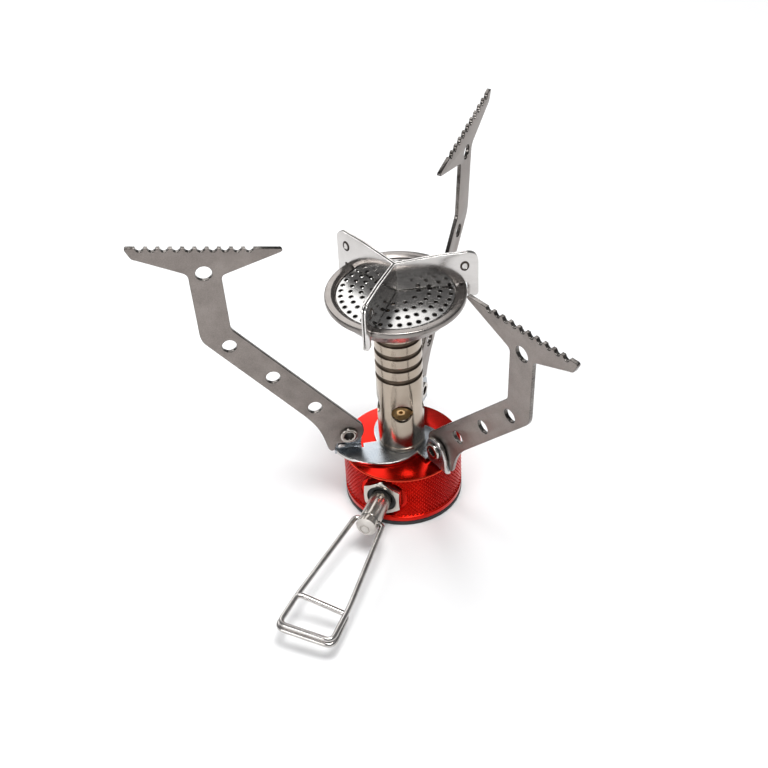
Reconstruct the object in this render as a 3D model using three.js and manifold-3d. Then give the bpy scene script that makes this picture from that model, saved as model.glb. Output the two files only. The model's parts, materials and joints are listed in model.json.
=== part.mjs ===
// A folding gas stove that screws onto a gas canister: a knurled valve body, a burner on a tube with
// air holes, three serrated pan arms that fold up on hollow rivets, and a valve spindle with a wire handle.
// Millimetres, +Z up. The origin is on the tube's axis, at the underside of the base. The spindle points to -Y.

import * as THREE from 'three';
import { mergeVertices } from 'three/addons/utils/BufferGeometryUtils.js';
import Module from 'manifold-3d';

const wasm = await Module();
wasm.setup();

// ---------------------------------------------------------------- driving dimensions

const degree = Math.PI / 180;
const clearance = 0.3;

const baseRadius = 17;
const ringHeight = 1.45;
const bodyBottom = 1.55;
const bodyTop = 17.3;
const recessRadius = 13.4;
const recessTop = 5.5;
const bandHeight = 3.3;
const edgeBreak = 0.4;

const threadRadius = 5.55;
const collarRadius = 6.8;
const collarTop = 8.1;
const collarPocketTop = 8.4;

const spindleHeight = 10;
const spindleRadius = 3;
const spindleEnd = 28.8;
const spindleDome = 1.6;
const spindleRestTurn = -5.6 * degree;
const nutFace = 17.4;
const nutBack = 15.3;
const nutCorner = 6.1;
const nutBore = 3.5;
const nutMouth = 4.2;
const nutMouthDepth = 2.2;
const nutShankRadius = 4.5;
const nutShankEnd = 11;
const nutPocketRadius = 6.6;
const needleRadius = 0.85;

const plateBottom = 17.4;
const plateTop = 18.5;
const earThickness = 1.1;
const earSide = -0.2;
const bendRadius = 1.9;

const tubeRadius = 6.6;
const tubeBore = 5.5;
const tubeBottom = 18.6;
const tubeTop = 62;
const airHoleRadius = 3;
const airHoleHeight = 32.8;
const airHoleAngle = 25.5 * degree;
const grooveHeights = [44.0, 48.3, 52.5, 56.8];
const grooveWidth = 1.1;
const grooveDepth = 0.35;

const holderRadius = 4.4;
const holderBottom = 13.2;
const holderTop = 24.6;
const jetTop = 28;

const rimRadius = 19.05;
const rimTop = 70.6;
const rimBottom = 68.9;
const burnerPlateRadius = 15.8;
const burnerPlateThickness = 0.6;
const domeTop = 70.95;
const domeDrop = 1.0;
const burnerHoleRadius = 0.62;
const burnerHoleRings = [
  { radius: 14.66, count: 36 },
  { radius: 11.92, count: 30 },
  { radius: 9.1, count: 24 },
  { radius: 6.2, count: 12 },
];

const vaneAngles = { front: 270 * degree, right: 29.3 * degree, left: 153.9 * degree };
const vaneThickness = 0.45;
const vaneGap = 0.3;
const vaneReach = 22.3;
const vaneTop = 80.5;
const vaneCorner = 3;

const pivotReach = 15.4;
const pivotHeight = 24.5;
const armOffset = 1.78;
const armThickness = 1.1;
const armPivotHole = 2.2;
const barAngle = 47.5 * degree;
const barRise = 1.04;
const barHalfWidth = 4.15;
const barHoles = [13.9, 30.4, 46.8];
const barHoleRadius = 1.95;
const headHoleRadius = 2.15;
const toothPitch = 3.056;
const toothDepth = 1.1;
const toothWidth = 0.3;
const toothCount = 10;

// Each arm's place round the tube, the lean of its ear, and its own slack about the rivet when open.
const stations = {
  left: { turn: 210.2 * degree, lean: 0.011, open: 2.6 * degree },
  right: { turn: 327.7 * degree, lean: -0.064, open: -1.5 * degree },
  rear: { turn: 88.0 * degree, lean: -0.049, open: 2.8 * degree },
};

const rivetRadius = 1.9;
const rivetBore = 1.4;
const rivetHead = 2.6;
const rivetHeadHeight = 0.6;

const wireRadius = 0.7;
const handlePivot = 26.8;
const handleDroop = 5 * degree;
const handleInner = 4.1;
const handleOuter = 7.5;
const handleEndOuter = 8;
const handleLean = 0.035;
const crossbarReach = 31;
const handleReach = 42;
const strandRise = 1.5;
const strandInset = 0.5;

const smooth = 36;
const medium = 24;
const small = 16;

// ---------------------------------------------------------------- materials

function finish(color, roughness, metalness) {
  return new THREE.MeshStandardMaterial({ color, roughness, metalness });
}

const redAnodised = finish(0xb01410, 0.3, 0.8);
const blackRubber = finish(0x161616, 0.7, 0);
const brightNickel = finish(0xc8bdb2, 0.2, 1);
const tubeNickel = finish(0xb9a593, 0.25, 1);
const brass = finish(0xb08a4a, 0.3, 1);
const zincSteel = finish(0x8b929a, 0.45, 1);
const satinSteel = finish(0x8f8984, 0.35, 1);
const tumbledSteel = finish(0x7d756f, 0.5, 1);
const vaneSteel = finish(0xb8b0ab, 0.4, 1);
const wireSteel = finish(0xa39d98, 0.25, 1);

// ---------------------------------------------------------------- solids from three.js geometry

// A closed three.js geometry as a solid for joining and cutting.
function solid(geometry) {
  const bare = geometry.index ? geometry.toNonIndexed() : geometry.clone();
  bare.deleteAttribute('normal');
  bare.deleteAttribute('uv');
  const merged = mergeVertices(bare, 1e-4);
  return new wasm.Manifold(new wasm.Mesh({
    numProp: 3,
    vertProperties: new Float32Array(merged.attributes.position.array),
    triVerts: new Uint32Array(merged.index.array),
  }));
}

function geometryOf(body) {
  const mesh = body.getMesh();
  const geometry = new THREE.BufferGeometry();
  geometry.setAttribute('position', new THREE.BufferAttribute(mesh.vertProperties.slice(), 3));
  geometry.setIndex(new THREE.BufferAttribute(mesh.triVerts.slice(), 1));
  geometry.computeVertexNormals();
  return geometry;
}

// A profile of [radius, height] points turned round Z. A profile that is clear of the axis closes on itself.
function turned(profile, segments) {
  const points = profile.map(([r, z]) => new THREE.Vector2(r, z));
  const onAxis = points[0].x === 0;
  if (!THREE.ShapeUtils.isClockWise(points)) points.reverse();
  if (!onAxis) points.push(points[0].clone());
  points.reverse();
  return new THREE.LatheGeometry(points, segments).rotateX(Math.PI / 2);
}

// A cylinder along Z from one height to another.
function rod(radius, from, to, segments = small) {
  const geometry = new THREE.CylinderGeometry(radius, radius, to - from, segments);
  return geometry.rotateX(Math.PI / 2).translate(0, 0, (from + to) / 2);
}

// Turns a geometry made along Z so that it lies along -Y, at the spindle's height.
function alongSpindle(geometry) {
  return geometry.rotateX(Math.PI / 2).translate(0, 0, spindleHeight);
}

// A flat shape in (radial, upward) coordinates as a sheet that stands on edge, its sides at y and y + thickness.
function sheet(shape, y, thickness, curveSegments = 6) {
  const options = { depth: thickness, bevelEnabled: false, curveSegments };
  return new THREE.ExtrudeGeometry(shape, options).rotateX(Math.PI / 2).translate(0, y + thickness, 0);
}

// A polygon of [x, y, radius] corners, each rounded where it has a radius.
function roundedShape(corners) {
  const shape = new THREE.Shape();
  const count = corners.length;
  corners.forEach(([x, y, radius = 0], i) => {
    const here = new THREE.Vector2(x, y);
    const [px, py] = corners[(i + count - 1) % count];
    const [nx, ny] = corners[(i + 1) % count];
    const back = new THREE.Vector2(px, py).sub(here).normalize();
    const ahead = new THREE.Vector2(nx, ny).sub(here).normalize();
    const half = Math.acos(THREE.MathUtils.clamp(back.dot(ahead), -1, 1)) / 2;
    const run = radius / Math.tan(half);
    const start = here.clone().addScaledVector(back, run);
    const end = here.clone().addScaledVector(ahead, run);
    if (i === 0) shape.moveTo(start.x, start.y);
    else shape.lineTo(start.x, start.y);
    if (radius > 0) shape.quadraticCurveTo(x, y, end.x, end.y);
  });
  shape.closePath();
  return shape;
}

// A hole must run the other way round from the outline it is in.
function roundHole(x, y, radius, clockwise = true) {
  return new THREE.Path().absarc(x, y, radius, 0, 2 * Math.PI, clockwise);
}

// A torus whose axis is Z, as a turned section.
function oRing(radius, section, height) {
  const steps = 6;
  const profile = [];
  for (let i = 0; i < steps; i += 1) {
    const angle = (i / steps) * 2 * Math.PI;
    profile.push([radius + section * Math.cos(angle), height + section * Math.sin(angle)]);
  }
  return turned(profile, small);
}

const stove = new THREE.Group();
stove.name = 'camping_stove';

function add(name, geometry, material, parent = stove) {
  const mesh = new THREE.Mesh(geometry, material);
  mesh.name = name;
  parent.add(mesh);
  return mesh;
}

// ---------------------------------------------------------------- valve body and what it holds

function valveBody() {
  const profile = [
    [0, collarPocketTop],
    [collarRadius + clearance, collarPocketTop],
    [collarRadius + clearance, recessTop],
    [recessRadius, recessTop],
    [recessRadius, bodyBottom],
    [baseRadius, bodyBottom],
    [baseRadius, bandHeight - 0.3],
    [baseRadius - 0.3, bandHeight],
    [baseRadius, bandHeight + 0.3],
    [baseRadius, bodyTop - edgeBreak],
    [baseRadius - edgeBreak, bodyTop],
    [holderRadius + clearance, bodyTop],
    [holderRadius + clearance, holderBottom - clearance],
    [0, holderBottom - clearance],
  ];
  let body = solid(turned(profile, smooth));
  const sideCuts = [
    rod(nutPocketRadius, nutBack - clearance, baseRadius + 1, medium),
    rod(nutShankRadius + clearance, nutShankEnd - clearance, nutBack, 24),
    rod(3.3, 9.2, nutShankEnd),
    rod(needleRadius + clearance, 3.5, 9.3, 12),
    rod(0.6, 0, 3.6, 12),
  ];
  for (const cut of sideCuts) body = body.subtract(solid(alongSpindle(cut)));
  const inlet = rod(0.7, collarPocketTop - 1, spindleHeight, 12).translate(0, -6, 0);
  const riser = rod(0.9, spindleHeight, holderBottom, 12);
  return geometryOf(body.subtract(solid(inlet)).subtract(solid(riser)));
}

function baseRing() {
  const lip = recessRadius - clearance;
  return turned([
    [lip - 0.8, 0.5],
    [lip - 0.3, 0],
    [baseRadius - 0.3, 0],
    [baseRadius, 0.3],
    [baseRadius, ringHeight],
    [lip, ringHeight],
    [lip, recessTop - 0.6],
    [lip - 0.8, recessTop - 0.6],
  ], smooth);
}

function canisterCollar() {
  return turned([
    [threadRadius + 0.5, 1.2],
    [collarRadius, 1.2],
    [collarRadius, collarTop],
    [threadRadius, collarTop],
    [threadRadius, 1.7],
  ], medium);
}

function valvePin() {
  return turned([[0, 3.6], [0.8, 3.6], [1.1, 4.0], [1.1, 7.2], [2.6, 7.2], [2.6, 8.1], [0, 8.1]], small);
}

add('valve_body', valveBody(), redAnodised);
add('base_ring', baseRing(), blackRubber);
add('canister_collar', canisterCollar(), brass);
add('canister_seal', oRing(4.6, 0.65, 7.4), blackRubber);
add('valve_pin', valvePin(), brass);

// ---------------------------------------------------------------- gas jet in the foot of the tube

function jetHolder() {
  const bore = 2.5;
  return turned([
    [0.9, holderBottom],
    [holderRadius, holderBottom],
    [holderRadius, holderTop - 0.4],
    [holderRadius - 0.4, holderTop],
    [bore, holderTop],
    [bore, 20],
    [0.9, 20],
  ], medium);
}

function gasJet() {
  const hexBottom = holderTop + clearance;
  const hexTop = hexBottom + 1.3;
  const head = turned([
    [0.3, 22.4],
    [2.2, 22.4],
    [2.2, hexTop - 0.2],
    [3.8, hexTop - 0.2],
    [3.5, hexTop + 0.7],
    [2.6, jetTop - 0.4],
    [1.2, jetTop],
    [0.3, jetTop],
  ], 24);
  const hex = solid(rod(4.3, hexBottom, hexTop, 6)).subtract(solid(rod(2.1, hexBottom - 1, hexTop + 1)));
  return geometryOf(solid(head).add(hex));
}

add('jet_holder', jetHolder(), brightNickel);
add('jet_filter', rod(2.2, 20.3, 21.6), brass);
add('gas_jet', gasJet(), brass);

// ---------------------------------------------------------------- burner tube, cup and perforated plate

function burnerTube() {
  const profile = [
    [holderRadius + clearance, tubeBottom],
    [tubeRadius - 0.2, tubeBottom],
    [tubeRadius, tubeBottom + 0.2],
  ];
  for (const height of grooveHeights) {
    profile.push([tubeRadius, height - grooveWidth / 2]);
    profile.push([tubeRadius - grooveDepth, height]);
    profile.push([tubeRadius, height + grooveWidth / 2]);
  }
  profile.push([tubeRadius, tubeTop], [tubeBore, tubeTop], [tubeBore, 23.5], [holderRadius + clearance, 23.5]);
  let tube = solid(turned(profile, medium));
  for (const quarter of [0, 1]) {
    const drill = rod(airHoleRadius, -10, 10, small).rotateX(Math.PI / 2);
    drill.rotateZ(airHoleAngle + quarter * Math.PI / 2).translate(0, 0, airHoleHeight);
    tube = tube.subtract(solid(drill));
  }
  return geometryOf(tube);
}

function burnerCup() {
  const sleeve = tubeRadius + clearance;
  return turned([
    [sleeve, 58.8],
    [sleeve + 0.6, 58.8],
    [sleeve + 0.6, 62.3],
    [13.2, 63.4],
    [14.7, 64.4],
    [16.9, rimBottom - 0.2],
    [17.5, rimBottom],
    [rimRadius - 0.3, rimBottom],
    [rimRadius, rimBottom + 0.4],
    [rimRadius, rimTop - 0.5],
    [rimRadius - 0.4, rimTop],
    [16.8, rimTop + 0.1],
    [16.1, rimTop - 0.4],
    [16.1, 69.2],
    [15.2, 69.2],
    [13.6, 65],
    [12.6, 64.2],
    [sleeve, 63.1],
  ], smooth);
}

// Height of the burner plate's upper face: a shallow dome, steeper towards the edge.
function domeHeight(radius) {
  return domeTop - domeDrop * (radius / burnerPlateRadius) ** 2.5;
}

function burnerPlate() {
  const radii = [0, 7.6, 13.3, burnerPlateRadius];
  const upper = radii.map((r) => [r, domeHeight(r)]);
  const lower = radii.map((r) => [r, domeHeight(r) - burnerPlateThickness]).reverse();
  let plate = solid(turned([...upper, ...lower], smooth));
  for (const { radius, count } of burnerHoleRings) {
    for (let i = 0; i < count; i += 1) {
      const angle = ((i + 0.5) / count) * 2 * Math.PI;
      const drill = rod(burnerHoleRadius, 68, 72, 6);
      drill.translate(radius * Math.cos(angle), radius * Math.sin(angle), 0);
      plate = plate.subtract(solid(drill));
    }
  }
  return geometryOf(plate);
}

add('burner_tube', burnerTube(), tubeNickel);
add('burner_cup', burnerCup(), satinSteel);
add('burner_plate', burnerPlate(), satinSteel);

// ---------------------------------------------------------------- wind vanes: three folded sheets, back to back

function vaneShape() {
  const slotTop = rimTop + 0.45;
  const slotSide = rimRadius + 0.35;
  const hookBottom = 66.5;
  return roundedShape([
    [0.1, domeTop + 0.35],
    [8.5, domeHeight(8.5) + 0.35],
    [15.3, domeHeight(15.3) + 0.4],
    [15.9, slotTop],
    [slotSide, slotTop],
    [slotSide, hookBottom, 0.5],
    [vaneReach, hookBottom, 1],
    [vaneReach, vaneTop, vaneCorner],
    [14, vaneTop],
    [0.1, vaneTop - 1],
  ]);
}

// One sheet: a wing on the left of one vane's middle plane, folded into a wing on the right of the next.
function windVane(from, to) {
  const wing = vaneShape();
  const first = sheet(wing, vaneGap / 2, vaneThickness, 5).rotateZ(from);
  const second = sheet(wing, -vaneGap / 2 - vaneThickness, vaneThickness, 5).rotateZ(to);
  return geometryOf(solid(first).add(solid(second)));
}

add('wind_vane_right', windVane(vaneAngles.front, vaneAngles.right), vaneSteel);
add('wind_vane_rear', windVane(vaneAngles.right, vaneAngles.left), vaneSteel);
add('wind_vane_left', windVane(vaneAngles.left, vaneAngles.front), vaneSteel);

// ---------------------------------------------------------------- arm bracket: a pinwheel plate with three ears

// The arm's pivot, as a place in the frame of its station: X outward, Y round, Z up.
function leanAboutPivot(geometry, lean) {
  return geometry.translate(0, 0, -pivotHeight).rotateX(-lean).translate(0, 0, pivotHeight);
}

function bracketLobe() {
  const shape = new THREE.Shape();
  shape.moveTo(0, 0);
  shape.lineTo(10, earSide);
  shape.lineTo(19.3, earSide);
  shape.quadraticCurveTo(19.9, 0.3, 19.3, 1.1);
  shape.bezierCurveTo(17.2, 5.8, 11.5, 9.7, 5.1, 9.9);
  shape.bezierCurveTo(1.5, 10, -2, 8.6, -5.6, 4.3);
  shape.closePath();
  return new THREE.ExtrudeGeometry(shape, { depth: plateTop - plateBottom, bevelEnabled: false, curveSegments: 6 })
    .translate(0, 0, plateBottom);
}

function bracketEar() {
  const shape = roundedShape([
    [11.9, plateBottom + 0.1],
    [19.8, plateBottom + 0.1, 0.8],
    [20.0, 23.0, 2.5],
    [18.6, 28.4, 3.5],
    [13.4, 28.7, 3.6],
    [11.4, 23.8, 3],
  ]);
  shape.holes.push(roundHole(pivotReach, pivotHeight, armPivotHole));
  return sheet(shape, earSide, earThickness);
}

// A section across an ear (Y round, Z up), carried along the ear.
function alongEar(section, from, to) {
  const options = { depth: to - from, bevelEnabled: false, curveSegments: 5 };
  return new THREE.ExtrudeGeometry(section, options).translate(0, 0, from).rotateX(Math.PI / 2).rotateZ(Math.PI / 2);
}

// The bend from the plate up into an ear: the corner that its round back takes away, and the round in front.
function bendSection(cornerY, cornerZ, radius) {
  const centreY = earSide + bendRadius;
  const centreZ = plateBottom + bendRadius;
  const section = new THREE.Shape();
  section.moveTo(cornerY, cornerZ);
  section.lineTo(centreY, cornerZ);
  section.absarc(centreY, centreZ, radius, -Math.PI / 2, -Math.PI, true);
  section.lineTo(cornerY, centreZ);
  section.closePath();
  return section;
}

// The tab under the arm that it rests on when it is open.
function stopTab() {
  const width = armOffset + armThickness / 2 - earSide - earThickness + 0.3;
  return new THREE.BoxGeometry(2.3, width, 1).translate(17.6, earSide + earThickness - 0.2 + width / 2, 20.6);
}

function armBracket() {
  const back = bendSection(earSide - 1, plateBottom - 0.2, bendRadius);
  const front = bendSection(earSide + earThickness - 0.1, plateTop - 0.1, bendRadius - earThickness);
  let bracket = solid(rod(7.1, plateBottom, plateTop, medium));
  for (const { turn, lean } of Object.values(stations)) {
    const footShift = -lean * (pivotHeight - plateTop);
    bracket = bracket.add(solid(bracketLobe().rotateZ(turn)));
    for (const piece of [bracketEar(), stopTab()]) {
      bracket = bracket.add(solid(leanAboutPivot(piece, lean).rotateZ(turn)));
    }
    bracket = bracket.subtract(solid(alongEar(back, 11.5, 21).translate(0, footShift, 0).rotateZ(turn)));
    bracket = bracket.add(solid(alongEar(front, 12, 19).translate(0, footShift, 0).rotateZ(turn)));
  }
  return geometryOf(bracket.subtract(solid(rod(holderRadius + clearance, 17, 20, medium))));
}

add('arm_bracket', armBracket(), zincSteel);

// ---------------------------------------------------------------- pan arms, drawn round their own pivot

// The saw-toothed top edge of the head, from its outer end inwards.
function addTeeth(shape, start, slope) {
  const inward = new THREE.Vector2(-Math.cos(slope), -Math.sin(slope));
  const down = new THREE.Vector2(Math.sin(slope), -Math.cos(slope));
  for (let i = 0; i < toothCount; i += 1) {
    const valley = start.clone().addScaledVector(inward, (i + toothWidth / 2) * toothPitch);
    const bottom = start.clone().addScaledVector(inward, (i + 0.5) * toothPitch).addScaledVector(down, toothDepth * 2);
    const peak = start.clone().addScaledVector(inward, (i + 1 - toothWidth / 2) * toothPitch);
    shape.lineTo(valley.x, valley.y);
    shape.quadraticCurveTo(bottom.x, bottom.y, peak.x, peak.y);
  }
}

function armShape() {
  const headSlope = 5.8 * degree;
  const barEnd = new THREE.Vector2(0.3, barRise);
  const endRadius = 4.6;
  const shape = new THREE.Shape();
  shape.moveTo(3.3, -3.0);
  shape.lineTo(-2.2, -3.0);
  shape.absarc(barEnd.x, barEnd.y, endRadius, 230 * degree, barAngle + Math.PI / 2 + 0.1, true);
  shape.lineTo(30.2, 40.3);
  shape.quadraticCurveTo(31, 41.2, 31.0, 42.4);
  shape.lineTo(32.2, 57.2);
  shape.quadraticCurveTo(32.3, 58.5, 31, 58.9);
  shape.lineTo(17.0, 64.1);
  shape.quadraticCurveTo(15.9, 64.7, 16.9, 65.3);
  shape.lineTo(22.6, 65.88);
  const outerTooth = new THREE.Vector2(53.6, 69.03);
  const teeth = new THREE.Shape();
  teeth.moveTo(outerTooth.x, outerTooth.y);
  addTeeth(teeth, outerTooth, headSlope);
  for (const point of teeth.getPoints(3).reverse()) shape.lineTo(point.x, point.y);
  shape.lineTo(55.0, 69.2);
  shape.quadraticCurveTo(56, 69.3, 55.8, 68.4);
  shape.lineTo(54.8, 66.4);
  shape.quadraticCurveTo(54.4, 65.5, 53.2, 65.2);
  shape.lineTo(42.2, 60.2);
  shape.quadraticCurveTo(40.8, 59.6, 40.7, 58.2);
  shape.lineTo(39.2, 40.2);
  shape.quadraticCurveTo(39.0, 38.0, 37.6, 36.4);
  shape.lineTo(13.0, 9.2);
  shape.bezierCurveTo(8.9, 4.6, 7.6, 1.8, 6.2, -3.6);
  shape.quadraticCurveTo(5.6, -5.8, 4.6, -5.5);
  shape.quadraticCurveTo(3.9, -5.2, 3.9, -4.2);
  shape.closePath();
  shape.holes.push(roundHole(0, 0, armPivotHole, false));
  for (const distance of barHoles) {
    const x = distance * Math.cos(barAngle);
    shape.holes.push(roundHole(x, barRise + distance * Math.sin(barAngle), barHoleRadius, false));
  }
  shape.holes.push(roundHole(36.7, 59.6, headHoleRadius, false));
  return shape;
}

// A hollow rivet with a rolled head at each end, along Y at the pivot.
function armRivet() {
  const near = earSide - 0.25;
  const far = armOffset + armThickness / 2 + 0.25;
  return turned([
    [rivetBore, near - rivetHeadHeight],
    [rivetHead - 0.3, near - rivetHeadHeight],
    [rivetHead, near - rivetHeadHeight / 2],
    [rivetHead, near],
    [rivetRadius, near],
    [rivetRadius, far],
    [rivetHead, far],
    [rivetHead, far + rivetHeadHeight / 2],
    [rivetHead - 0.3, far + rivetHeadHeight],
    [rivetBore, far + rivetHeadHeight],
  ], small).rotateX(-Math.PI / 2);
}

for (const [side, { turn, lean, open }] of Object.entries(stations)) {
  const station = new THREE.Group();
  station.rotation.z = turn;
  const pivot = new THREE.Group();
  pivot.position.set(pivotReach, 0, pivotHeight);
  pivot.rotation.x = -lean;
  station.add(pivot);
  stove.add(station);
  const arm = add('arm_' + side, sheet(armShape(), armOffset - armThickness / 2, armThickness), tumbledSteel, pivot);
  arm.rotation.y = -open;
  add('arm_rivet_' + side, armRivet(), brightNickel, pivot);
}

// ---------------------------------------------------------------- gland nut, spindle and wire handle

function glandNut() {
  const shank = solid(rod(nutShankRadius, nutShankEnd, nutBack + 0.2, 24));
  const hex = solid(rod(nutCorner, nutBack, nutFace, 6).rotateZ(Math.PI / 2));
  const bore = solid(rod(nutBore, nutShankEnd + 1, nutFace + 1, 24));
  const mouth = solid(rod(nutMouth, nutFace - nutMouthDepth, nutFace + 1, 24));
  const throat = solid(rod(spindleRadius + clearance, nutShankEnd - 1, nutShankEnd + 2, 24));
  return alongSpindle(geometryOf(shank.add(hex).subtract(bore).subtract(mouth).subtract(throat)));
}

// A rubber washer in the mouth of the nut, which keeps dirt off the spindle.
function spindleWiper() {
  const inner = spindleRadius + clearance;
  const outer = nutMouth - clearance;
  const back = nutFace - nutMouthDepth + clearance;
  const front = nutFace - 0.7;
  return alongSpindle(turned([[inner, back], [outer, back], [outer, front], [inner, front]], 24));
}

function valveSpindle() {
  const profile = [
    [0, 4.4],
    [0.25, 4.4],
    [needleRadius, 6],
    [needleRadius, 9.5],
    [1.9, 9.5],
    [1.9, 10.9],
    [spindleRadius, 11.3],
    [spindleRadius, spindleEnd - 0.2],
    [spindleRadius - 0.15, spindleEnd + 0.3 * spindleDome],
    [spindleRadius * 0.77, spindleEnd + 0.65 * spindleDome],
    [spindleRadius * 0.45, spindleEnd + 0.9 * spindleDome],
    [0, spindleEnd + spindleDome],
  ];
  const crossHole = rod(wireRadius + 0.3, -4, 4, 12).rotateY(Math.PI / 2).translate(0, 0, handlePivot);
  const body = solid(turned(profile, small)).subtract(solid(crossHole));
  return alongSpindle(geometryOf(body).rotateZ(spindleRestTurn));
}

// Straight runs joined by curved corners.
function bentPath(points, bend) {
  const path = new THREE.CurvePath();
  let start = points[0];
  for (let i = 1; i < points.length - 1; i += 1) {
    const corner = points[i];
    const before = corner.clone().lerp(start, Math.min(0.45, bend / corner.distanceTo(start)));
    const next = points[i + 1];
    const after = corner.clone().lerp(next, Math.min(0.45, bend / corner.distanceTo(next)));
    path.add(new THREE.LineCurve3(start, before));
    path.add(new THREE.QuadraticBezierCurve3(before, corner, after));
    start = after;
  }
  path.add(new THREE.LineCurve3(start, points[points.length - 1]));
  return path;
}

// One wire: out of the spindle, down one leg, round the end loop, over the crossbar, round the loop again
// on top of its first turn, and back up the other leg. The points are across, away from the spindle, and up.
function handleWire() {
  const inset = handleEndOuter - strandInset;
  const end = handleReach - strandInset;
  const points = [
    [-1.4, 0, 0],
    [-handleInner, 0, 0],
    [-handleOuter, crossbarReach, 0],
    [-handleEndOuter, handleReach, 0],
    [handleEndOuter, handleReach, 0],
    [handleOuter, crossbarReach + 0.4, 0],
    [strandInset - handleOuter, crossbarReach, strandRise],
    [-inset, end, strandRise],
    [inset, end, strandRise],
    [handleOuter - 0.2, crossbarReach - 1.4, strandRise],
    [handleInner, 0, 0],
    [1.4, 0, 0],
  ].map(([x, y, z]) => new THREE.Vector3(x - handleLean * y, -y, z));
  const section = new THREE.Shape().absarc(0, 0, wireRadius, 0, 2 * Math.PI);
  const options = { steps: 80, curveSegments: 3, extrudePath: bentPath(points, 2), bevelEnabled: false };
  return new THREE.ExtrudeGeometry(section, options);
}

add('gland_nut', glandNut(), brightNickel);
add('spindle_seal', alongSpindle(oRing(2.55, 0.45, 10.1)), blackRubber);
add('spindle_wiper', spindleWiper(), blackRubber);
add('valve_spindle', valveSpindle(), brightNickel);

const handle = new THREE.Group();
handle.position.set(0, -handlePivot, spindleHeight);
handle.rotation.y = -spindleRestTurn;
const handleTilt = new THREE.Group();
handleTilt.rotation.x = handleDroop;
handle.add(handleTilt);
stove.add(handle);
add('wire_handle', handleWire(), wireSteel, handleTilt);

export default stove;
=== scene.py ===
"""Looks for the folding camping stove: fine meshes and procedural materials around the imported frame.

Outlines and profiles are in millimetres, in the part's own frame; placed() turns them into metres.
"""
import json
import math

import bmesh
import bpy
from mathutils import Matrix, Vector


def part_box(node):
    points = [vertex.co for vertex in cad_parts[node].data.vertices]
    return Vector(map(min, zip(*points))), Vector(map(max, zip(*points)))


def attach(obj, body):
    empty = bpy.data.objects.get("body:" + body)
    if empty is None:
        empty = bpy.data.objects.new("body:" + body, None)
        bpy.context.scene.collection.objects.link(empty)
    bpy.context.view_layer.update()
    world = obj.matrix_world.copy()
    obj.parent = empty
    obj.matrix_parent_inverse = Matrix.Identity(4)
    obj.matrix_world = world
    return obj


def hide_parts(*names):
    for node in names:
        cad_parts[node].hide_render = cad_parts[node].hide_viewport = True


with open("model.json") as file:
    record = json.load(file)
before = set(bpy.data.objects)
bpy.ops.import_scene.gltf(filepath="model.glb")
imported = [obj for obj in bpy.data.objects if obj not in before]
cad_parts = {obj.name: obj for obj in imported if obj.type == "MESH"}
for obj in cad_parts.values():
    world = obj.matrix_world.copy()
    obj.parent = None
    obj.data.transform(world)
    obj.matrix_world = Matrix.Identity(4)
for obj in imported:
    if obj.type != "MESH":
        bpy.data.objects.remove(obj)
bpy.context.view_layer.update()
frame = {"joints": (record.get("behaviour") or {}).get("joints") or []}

scene = bpy.context.scene
MM = 0.001


# ---------------------------------------------------------------- sizes from the frame, in millimetres

def low(node):
    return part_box(node)[0] / MM


def high(node):
    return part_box(node)[1] / MM


BASE_R = high("valve_body").x
BODY_BOTTOM = low("valve_body").z
BODY_TOP = high("valve_body").z
KNURL_BOTTOM, KNURL_TOP = 3.75, BODY_TOP - 0.55
RING_TOP = 1.45
TUBE_R = high("burner_tube").x
TUBE_BORE = 5.5
TUBE_BOTTOM = low("burner_tube").z
TUBE_TOP = high("burner_tube").z
RIM_R = high("burner_cup").x
RIM_TOP = high("burner_cup").z - 0.1
PLATE_R = high("burner_plate").x
DOME_TOP = high("burner_plate").z
SPINDLE_JOINT = frame["joints"][3]["pos_m"]
SPINDLE_Z = SPINDLE_JOINT[2] / MM
SPINDLE_END = -low("valve_spindle").y
HANDLE_PIVOT = -SPINDLE_JOINT[1] / MM

SPINDLE_TURN = math.radians(-5.6)
HANDLE_DROOP = math.radians(5)

# The bracket, its ears and the arms. PIVOT is a rivet's (distance from the tube's axis, height).
SHEET = 1.1
BRACKET_BOTTOM = low("arm_bracket").z
BRACKET_MIDDLE = BRACKET_BOTTOM + SHEET / 2
PIVOT = (15.4, 24.5)
ARM_OFFSET = 1.78
EAR_SIDE = -0.2
BEND_OUT = 1.9
BAR_ANGLE = math.radians(47.5)
BAR_RISE = 1.04

# Each station's azimuth, the sideways lean of its ear, and how far its arm has sagged open.
STATIONS = {
    "left": (math.radians(210.2), 0.011, math.radians(2.6)),
    "right": (math.radians(327.7), -0.064, math.radians(-1.5)),
    "rear": (math.radians(88.0), -0.049, math.radians(2.8)),
}
VANES = {"front": math.radians(270), "right": math.radians(29.3), "left": math.radians(153.9)}
VANE_SHEET = 0.45


def linked(name, data):
    """A new object in the scene."""
    made = bpy.data.objects.new(name, data)
    scene.collection.objects.link(made)
    return made


# ---------------------------------------------------------------- camera, lights and floor

def make_camera():
    azimuth, elevation, roll = math.radians(23), math.radians(39.39), math.radians(-3.02)
    target, distance = Vector((-8.21, 8.21, 30)) * MM, 423.8 * MM
    right = Vector((math.cos(azimuth), math.sin(azimuth), 0))
    ahead = Vector((-math.sin(azimuth) * math.cos(elevation), math.cos(azimuth) * math.cos(elevation),
                    -math.sin(elevation)))
    up = right.cross(ahead)
    across = right * math.cos(roll) + up * math.sin(roll)
    upward = up * math.cos(roll) - right * math.sin(roll)
    data = bpy.data.cameras.new("camera")
    data.sensor_width = 36
    data.lens = 68.86
    data.clip_start = 0.01
    camera = linked("camera", data)
    axes = Matrix((across, upward, -ahead)).transposed().to_4x4()
    camera.matrix_world = Matrix.Translation(target - ahead * distance) @ axes
    scene.camera = camera


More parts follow.
